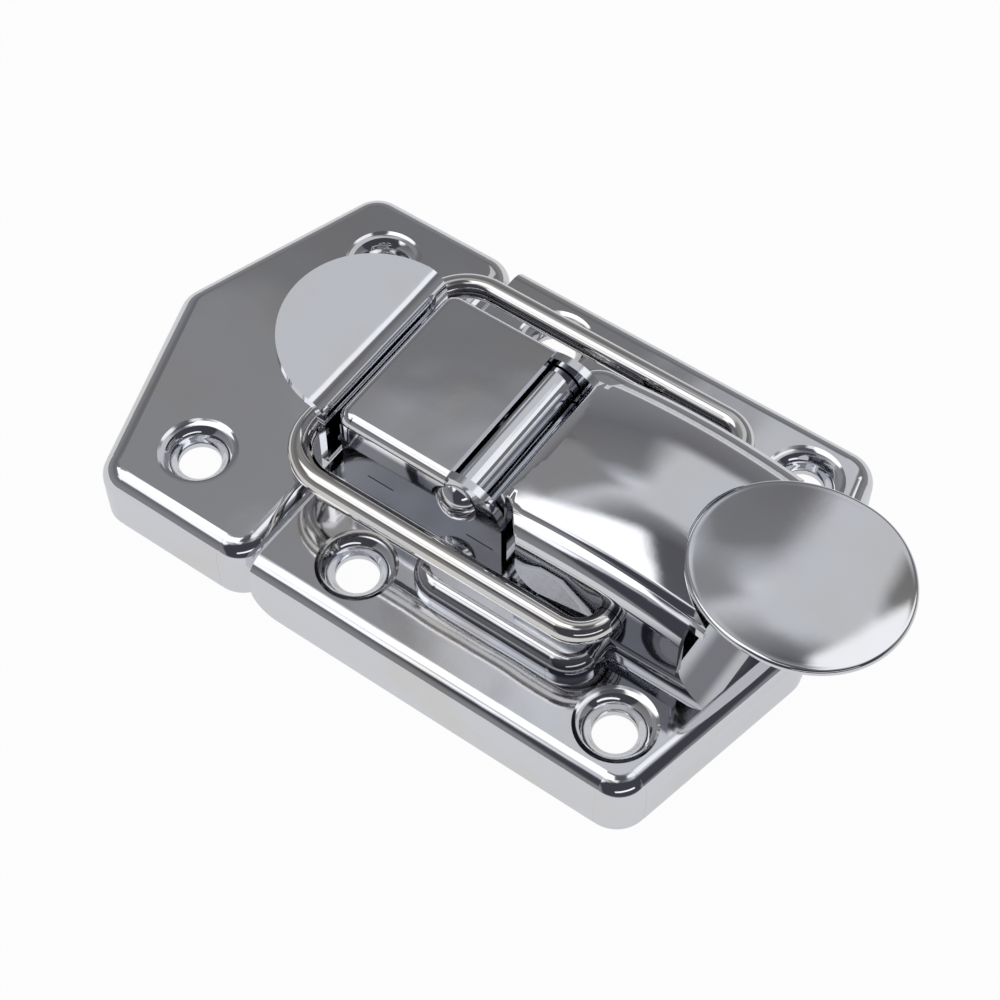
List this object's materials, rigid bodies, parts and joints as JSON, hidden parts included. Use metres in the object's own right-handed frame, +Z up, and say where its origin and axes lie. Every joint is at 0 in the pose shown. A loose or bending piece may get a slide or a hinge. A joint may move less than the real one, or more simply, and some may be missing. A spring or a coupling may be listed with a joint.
{
  "type": "toggle latch",
  "caption": "Chromed sheet-steel toggle latch: a keeper plate with a half-moon hook, and a base plate whose over-centre lever pulls a wire bail under the hook.",
  "frame": {"origin": "on the mounting plane, under the middle of the whole latch", "axes": "+X from the keeper plate to the lever's thumb end, +Y across the latch, +Z up from the mounting plane"},
  "size_m": [0.0833, 0.046, 0.0194],
  "materials": {
    "plate_chrome": "bright chrome plate on pressed sheet steel",
    "rivet_chrome": "bright chrome plate on a domed steel rivet",
    "lever_chrome": "bright chrome plate on pressed sheet steel",
    "wire_chrome": "bright chrome plate on bent steel wire"
  },
  "bodies": {
    "frame": {"base_plate": "plate_chrome", "pivot_bridge": "plate_chrome", "pivot_rivet": "rivet_chrome", "keeper_plate": "plate_chrome"},
    "lever": {"lever": "lever_chrome"},
    "bail": {"bail": "wire_chrome"}
  },
  "joints": [
    {"name": "lever_pivot", "type": "hinge", "parent": "frame", "child": "lever", "pos_m": [-0.00025, 0, 0.0134], "axis": [0, -1, 0], "range_deg": [0, 90]},
    {"name": "bail_pivot", "type": "hinge", "parent": "lever", "child": "bail", "pos_m": [0.01815, 0, 0.0128], "axis": [0, -1, 0], "range_deg": [-53.2, 0]}
  ],
  "couplings": [
    {"joint": "bail_pivot", "follows": "lever_pivot", "ratio": -0.59}
  ]
}
